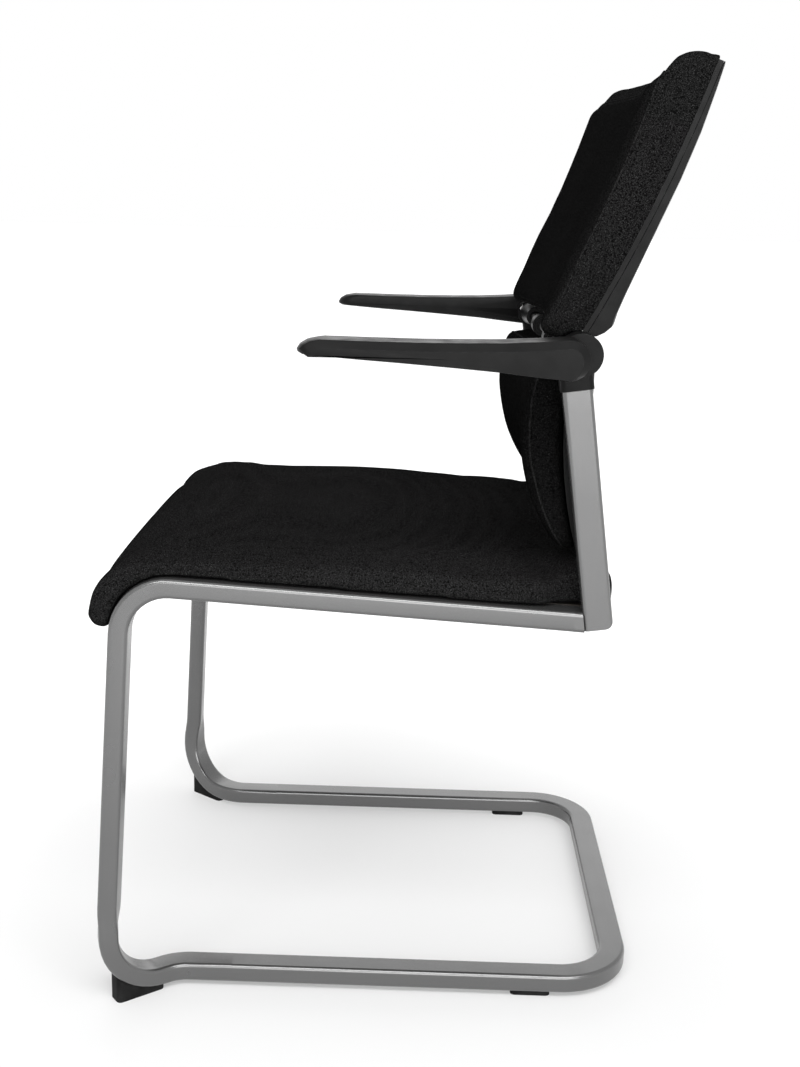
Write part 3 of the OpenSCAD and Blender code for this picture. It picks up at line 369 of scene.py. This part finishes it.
# ---- places on the soft parts, as the construction has them, in millimetres and radians ----

TUBE_H, BEND_R = 19.0, 47.0
RAIL_ANGLE, RAKE_ANGLE = math.radians(3.1), math.radians(3.0)
CORNER_FORWARD, CORNER_RISE = 256.0, 429.5
SEAT_BEND_R = BEND_R + TUBE_H / 2
SEAT_TURN = math.radians(90) + RAIL_ANGLE - RAKE_ANGLE
BEND_BACK = BEND_R * math.tan(SEAT_TURN / 2)

BACK_HALF, BACK_FOOT_Y, BACK_FOOT_Z = 231.0, 156.0, 666.0
RECLINE, BACK_R, BACK_LEN, BACK_SAG = math.radians(29.5), 1350.0, 267.0, 23.0
BACK_CORNER_R, BACK_LOW_R, BACK_DEEP, BACK_TAPER = 14.0, 12.0, 43.5, 9.0
# the piping's lower and upper run, as shares of the back's length
BACK_PIPING_LOW, BACK_PIPING_HIGH = -0.033, 0.89

LUMBAR_HALF, LUMBAR_LOW, LUMBAR_HIGH, LUMBAR_LINE = 222.0, 463.5, 634.0, 583.0
LUMBAR_FRONT, LUMBAR_SEAM, LUMBAR_FRONT_R, LUMBAR_SEAM_R = 115.4, 148.0, 200.0, 400.0
LUMBAR_SAG, LUMBAR_CROWN, LUMBAR_CORNER_R = 14.0, 7.0, 14.0

# ---- where the upper back's cover leaves the construction's form, in millimetres ----

# the lower front edge's drop, the rear top edge's rise, the rear rim's widening and its limit
BACK_DROP, BACK_RISE, BACK_WIDEN, BACK_REACH = 10.0, 4.0, 0.055, 230.6
# how deep the top front edge may be, and how much deeper the front below it
BACK_TOP_DEEP, BACK_TOP_MORE = 34.0, 18.0
# from where to where each of them sets in: up the back's side line, then rearward from the seam
DROP_UP, RISE_UP, TOP_UP = (70.0, -5.0), (235.0, 262.0), (258.0, 205.0)
DROP_BACK, REAR_BACK = (-6.0, -18.0), (-9.0, -1.0)
# how far out the blown-up cover may reach at each side, clear of the caps
BACK_SIDE = 231.6

# ---- the piping: its line's step in millimetres, how far in it lies, passes that even it ----

PIPING_STEP, PIPING_PASSES = 5.0, 2
BACK_PIPING_SHARE, LUMBAR_PIPING_SHARE = 0.995, 0.993


def bow(x, half, sag):
    """How much farther back a pad that is concave across lies at x than at its sides."""
    return sag * (1 - (x / half) ** 2)


def seat_rise(p):
    """How far points lie over the rails' tops, measured square to the rails and their bends."""
    y, z = p[:, 1] + CORNER_FORWARD, p[:, 2] - CORNER_RISE
    flat = y * math.cos(RAIL_ANGLE) - z * math.sin(RAIL_ANGLE) - BEND_BACK
    rise = y * math.sin(RAIL_ANGLE) + z * math.cos(RAIL_ANGLE) + SEAT_BEND_R - TUBE_H / 2
    turn = np.clip(np.arctan2(-flat, rise), 0.0, SEAT_TURN)
    return -flat * np.sin(turn) + rise * np.cos(turn) - SEAT_BEND_R


def back_share(p):
    """Places of points on the upper back: up its side line, and rearward from the seam."""
    y = p[:, 1] - bow(p[:, 0], BACK_HALF, BACK_SAG) - BACK_FOOT_Y + BACK_R * math.cos(RECLINE)
    z = p[:, 2] - BACK_FOOT_Z - BACK_R * math.sin(RECLINE)
    angle = np.arctan2(-z, y)
    return (RECLINE - angle) * BACK_R, np.hypot(y, z) - BACK_R


def back_place(x, s, off):
    """The point at x, s up the upper back's side line and off rearward from its seam."""
    a = RECLINE - s / BACK_R
    y = BACK_FOOT_Y + BACK_R * (math.cos(a) - math.cos(RECLINE)) + off * math.cos(a)
    z = BACK_FOOT_Z + BACK_R * (math.sin(RECLINE) - math.sin(a)) - off * math.sin(a)
    return Vector((x, y + bow(x, BACK_HALF, BACK_SAG), z))


def back_front(s):
    """How far rearward from the seam the upper back's front lies, s up its side line."""
    return BACK_TAPER * (1 - s / BACK_LEN) - BACK_DEEP


def ease(value, low, high):
    t = np.clip((value - low) / (high - low), 0.0, 1.0)
    return t * t * (3 - 2 * t)


def fill_back(co):
    """Lets the upper back's cover hang lower in front and fill out to the shell's rim behind."""
    s, off = back_share(co)
    drop = -BACK_DROP * ease(s, *DROP_UP) * ease(off, *DROP_BACK)
    rear = ease(off, *REAR_BACK)
    rise = BACK_RISE * rear * ease(s, *RISE_UP)
    back = np.maximum(-BACK_TOP_DEEP - BACK_TOP_MORE * ease(s, *TOP_UP) - off, 0.0)
    wide = np.clip(co[:, 0] * (1 + BACK_WIDEN * rear), -BACK_REACH, BACK_REACH) - co[:, 0]
    a = RECLINE - s / BACK_R
    return co + np.column_stack(
        (wide, rise * np.sin(a) + back * np.cos(a), rise * np.cos(a) - back * np.sin(a) + drop))


def lumbar_curve(z, r):
    return r - np.sqrt(r * r - (z - LUMBAR_LINE) ** 2)


def lumbar_faces(z):
    """How far back the lower back's seam and its front lie at the height z, at its sides."""
    seam = LUMBAR_SEAM + lumbar_curve(z, LUMBAR_SEAM_R)
    return seam, np.minimum(LUMBAR_FRONT + lumbar_curve(z, LUMBAR_FRONT_R), seam - LUMBAR_CROWN)


def lumbar_share(p):
    """Share of the way from the lower back's seam to its front at each point."""
    seam, front = lumbar_faces(p[:, 2])
    y = p[:, 1] - bow(p[:, 0], LUMBAR_HALF, LUMBAR_SAG)
    return (seam - y) / (seam - front)


def outline(half, low, high, low_r, high_r, step):
    """Points round a rounded rectangle, anticlockwise, about a step apart."""
    corners = ((half - low_r, low + low_r, low_r, -90), (half - high_r, high - high_r, high_r, 0),
               (high_r - half, high - high_r, high_r, 90), (low_r - half, low + low_r, low_r, 180))
    points = []
    for i, (x, z, r, start) in enumerate(corners):
        n = max(4, int(r * math.pi / 2 / step))
        for k in range(n):
            a = math.radians(start + 90 * k / n)
            points.append((x + r * math.cos(a), z + r * math.sin(a)))
        nx, nz, nr, turn = corners[(i + 1) % 4]
        a = math.radians(start + 90)
        x0, z0 = x + r * math.cos(a), z + r * math.sin(a)
        b = math.radians(turn)
        x1, z1 = nx + nr * math.cos(b), nz + nr * math.sin(b)
        n = max(1, int(math.hypot(x1 - x0, z1 - z0) / step))
        points += [(x0 + (x1 - x0) * k / n, z0 + (z1 - z0) * k / n) for k in range(n)]
    return points


def drawn_in(ring, low, high, share):
    """The ring's points, drawn in by the share towards the middle of its width and height."""
    middle = (low + high) / 2
    return [(x * share, middle + (z - middle) * share) for x, z in ring]


def back_piping_line():
    low, high = BACK_PIPING_LOW * BACK_LEN, BACK_PIPING_HIGH * BACK_LEN
    ring = outline(BACK_HALF, low, high, BACK_LOW_R, BACK_CORNER_R, PIPING_STEP)
    return [back_place(x, s, back_front(s)) for x, s in drawn_in(ring, low, high, BACK_PIPING_SHARE)]


def lumbar_piping_line():
    ring = outline(LUMBAR_HALF, LUMBAR_LOW, LUMBAR_HIGH, LUMBAR_CORNER_R, LUMBAR_CORNER_R, PIPING_STEP)
    line = []
    for x, z in drawn_in(ring, LUMBAR_LOW, LUMBAR_HIGH, LUMBAR_PIPING_SHARE):
        _, front = lumbar_faces(z)
        line.append(Vector((x, front + bow(x, LUMBAR_HALF, LUMBAR_SAG), z)))
    return line


# ---- cushions: the CAD forms, remeshed, blown up as cloth between their seams ----

COVER = {
    "quality": 5, "mass": 0.25, "tension_stiffness": 18.0, "compression_stiffness": 18.0,
    "shear_stiffness": 6.0, "bending_stiffness": 3.0, "use_pressure": True,
}
BLOW_FRAMES = 20
# how far points lie over the rails, in millimetres, from the lower back's seam, as a share, and
# rearward from the upper back's seam, in millimetres, where each cover is held
SEAT_HELD, LUMBAR_HELD, BACK_HELD = 3.0, 0.08, -2.5
CREASE_DEPTH, CREASE_REACH = 0.0008, 0.004


def link(obj):
    scene.collection.objects.link(obj)
    return obj


def read_vertices(mesh, what):
    values = np.empty(len(mesh.vertices) * 3)
    mesh.vertices.foreach_get(what, values)
    return values.reshape(-1, 3)


def points_of(mesh):
    return read_vertices(mesh, "co")


def normals_of(mesh):
    return read_vertices(mesh, "normal")


def set_points(mesh, co):
    mesh.vertices.foreach_set("co", co.ravel())
    mesh.update()


def evaluated(obj):
    return bpy.data.meshes.new_from_object(obj.evaluated_get(bpy.context.evaluated_depsgraph_get()))


def remeshed(node, name, voxel):
    """The CAD node's form as an even mesh of its own."""
    mesh = nodes[node].data.copy()
    bm = bmesh.new()
    bm.from_mesh(mesh)
    bmesh.ops.remove_doubles(bm, verts=bm.verts, dist=WELD)
    bm.to_mesh(mesh)
    bm.free()
    obj = link(bpy.data.objects.new(name, mesh))
    voxels = obj.modifiers.new("Voxels", "REMESH")
    voxels.mode = "VOXEL"
    voxels.voxel_size = voxel
    even = obj.modifiers.new("Even", "SMOOTH")
    even.factor = 0.5
    even.iterations = 3
    fresh = evaluated(obj)
    obj.modifiers.clear()
    obj.data = fresh
    obj.data.name = name
    return obj


def blow_up(obj, held, pressure, cap, shrink):
    """Pressure from inside stretches the cover between its held points, by the cap at most."""
    mesh = obj.data
    start = points_of(mesh) - normals_of(mesh) * shrink
    set_points(mesh, start)
    group = obj.vertex_groups.new(name="held")
    group.add(np.nonzero(held)[0].tolist(), 1.0, "REPLACE")
    cloth = obj.modifiers.new("Cloth", "CLOTH")
    for key, value in COVER.items():
        setattr(cloth.settings, key, value)
    cloth.settings.uniform_pressure_force = pressure
    cloth.settings.vertex_group_mass = "held"
    cloth.settings.effector_weights.gravity = 0.0
    cloth.collision_settings.use_collision = False
    cloth.point_cache.frame_start, cloth.point_cache.frame_end = 1, BLOW_FRAMES
    for f in range(1, BLOW_FRAMES + 1):
        scene.frame_set(f)
    blown = evaluated(obj)
    moved = points_of(blown) - start
    scene.frame_set(1)
    obj.modifiers.remove(cloth)
    bpy.data.meshes.remove(blown)
    far = np.linalg.norm(moved, axis=1, keepdims=True)
    set_points(mesh, start + moved * np.minimum(1.0, cap * np.tanh(far / cap) / np.maximum(far, 1e-9)))


def crease(obj, line):
    """Draws the cover in along a sewn line, deepest beside it."""
    mesh = obj.data
    co, no = points_of(mesh), normals_of(mesh)
    stops = np.array([p[:] for p in line]) * MM
    gap = np.empty(len(co))
    batch = 4000
    for k in range(0, len(co), batch):
        part = co[k:k + batch, None, :] - stops[None, :, :]
        gap[k:k + batch] = np.sqrt((part ** 2).sum(2)).min(1)
    set_points(mesh, co - no * (CREASE_DEPTH * np.exp(-((gap / CREASE_REACH) ** 2)))[:, None])


def finish_cushion(obj, node, body, material):
    obj.data.materials.clear()
    obj.data.materials.append(material)
    for p in obj.data.polygons:
        p.use_smooth = True
    fine = obj.modifiers.new("Fine", "SUBSURF")
    fine.levels = fine.render_levels = 1
    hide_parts(node)
    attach(obj, body)


def surface_of(obj):
    mesh = evaluated(obj)
    bm = bmesh.new()
    bm.from_mesh(mesh)
    tree = BVHTree.FromBMesh(bm)
    bm.free()
    bpy.data.meshes.remove(mesh)
    return tree


def piping(name, pad, line, radius, proud, body):
    """A thin sewn cord laid on the pad's surface along the line."""
    tree = surface_of(pad)
    places = []
    for p in line:
        spot, normal, _, _ = tree.find_nearest(p * MM)
        places.append(spot + normal * proud)
    for _ in range(PIPING_PASSES):
        places = [(places[i - 1] + p * 2 + places[(i + 1) % len(places)]) / 4 for i, p in enumerate(places)]
    data = bpy.data.curves.new(name, "CURVE")
    data.dimensions = "3D"
    data.bevel_depth = radius
    data.bevel_resolution = 3
    spline = data.splines.new("POLY")
    spline.points.add(len(places) - 1)
    for point, p in zip(spline.points, places):
        point.co = (*p, 1.0)
    spline.use_cyclic_u = True
    obj = link(bpy.data.objects.new(name, data))
    data.materials.append(PIPING)
    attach(obj, body)


def make_seat():
    obj = remeshed("seat_cushion", "seat_pad", voxel=0.0055)
    rise = seat_rise(points_of(obj.data) / MM)
    blow_up(obj, rise < SEAT_HELD, pressure=8.0, cap=0.0042, shrink=0.0008)
    finish_cushion(obj, "seat_cushion", "chair", SEAT_CLOTH_PAINTED_LIGHT)


def make_lower_back():
    obj = remeshed("lower_back_pad", "lower_pad", voxel=0.0045)
    line = lumbar_piping_line()
    share = lumbar_share(points_of(obj.data) / MM)
    blow_up(obj, share < LUMBAR_HELD, pressure=8.0, cap=0.0035, shrink=0.0007)
    crease(obj, line)
    finish_cushion(obj, "lower_back_pad", "chair", LUMBAR_CLOTH_PAINTED_SHADE)
    piping("lower_piping", obj, line, radius=0.0011, proud=0.0004, body="chair")


def make_upper_back():
    obj = remeshed("upper_back_pad", "upper_pad", voxel=0.004)
    set_points(obj.data, fill_back(points_of(obj.data) / MM) * MM)
    line = [Vector(p) for p in fill_back(np.array([p[:] for p in back_piping_line()]))]
    along, off = back_share(points_of(obj.data) / MM)
    # how far each point lies in front of the upper back's front line, where the cloth paints shade on the
    # front panel
    front = obj.data.attributes.new("front", "FLOAT", "POINT")
    front.data.foreach_set("value", back_front(along) - off)
    blow_up(obj, off > BACK_HELD, pressure=4.0, cap=0.0018, shrink=0.0007)
    flat = points_of(obj.data)
    flat[:, 0] = np.clip(flat[:, 0], -BACK_SIDE * MM, BACK_SIDE * MM)
    set_points(obj.data, flat)
    crease(obj, line)
    finish_cushion(obj, "upper_back_pad", "upper_back", BACK_CLOTH_FRONT_SHADE)
    piping("upper_piping", obj, line, radius=0.0010, proud=0.0002, body="upper_back")


# ---- floor and light ----

FLOOR_SIDE = 30.0
# the sky is white up to SKY_EDGE of the way to the zenith and at SKY_TOP has faded to SKY_DIM
SKY_EDGE, SKY_TOP, SKY_DIM = 0.16, 0.55, 0.75
# each lamp's place, width and height in metres and its watts; all look at the chair's middle
LIGHTS = (
    ("key_light", (1.7, 0.1, 2.3), 3.0, 0.9, 62.0),
    ("rim_light", (-3.0, 0.1, 1.35), 3.0, 1.3, 10.0),
    ("side_light", (3.1, 0.5, 1.1), 2.6, 1.6, 62.0),
)
LIT_POINT = (0, 0, 0.45)


def make_floor():
    mesh = bpy.data.meshes.new("floor")
    corners = [(x * FLOOR_SIDE, y * FLOOR_SIDE, 0) for x, y in ((-1, -1), (1, -1), (1, 1), (-1, 1))]
    mesh.from_pydata(corners, [], [(0, 1, 2, 3)])
    floor = link(bpy.data.objects.new("floor", mesh))
    mesh.materials.append(make_floor_paint_and_glow())


def make_sky():
    world = bpy.data.worlds.new("studio")
    scene.world = world
    world.use_nodes = True
    tree = world.node_tree
    sky = tree.nodes["Background"]
    sky.inputs["Color"].default_value = WHITE
    place = tree.nodes.new("ShaderNodeTexCoord")
    axes = tree.nodes.new("ShaderNodeSeparateXYZ")
    fade = tree.nodes.new("ShaderNodeMapRange")
    for i, x in enumerate((0.0, SKY_EDGE, SKY_TOP, 1.0, SKY_DIM)):
        fade.inputs[i].default_value = x
    tree.links.new(place.outputs["Generated"], axes.inputs[0])
    tree.links.new(axes.outputs["Z"], fade.inputs[0])
    tree.links.new(fade.outputs[0], sky.inputs["Strength"])


def make_lights():
    for name, place, width, height, watts in LIGHTS:
        data = bpy.data.lights.new(name, "AREA")
        data.shape = "RECTANGLE"
        data.size, data.size_y = width, height
        data.energy = watts
        lamp = link(bpy.data.objects.new(name, data))
        lamp.location = place
        lamp.rotation_euler = (Vector(LIT_POINT) - Vector(place)).to_track_quat("-Z", "Y").to_euler()
        lamp.visible_camera = False
    scene.view_settings.view_transform = "Standard"
    scene.view_settings.look = "None"
    scene.view_settings.exposure = 0.0
    scene.view_settings.gamma = 1.0


make_camera()
dress_rigid()
make_seat()
make_lower_back()
make_upper_back()
make_floor()
make_sky()
make_lights()
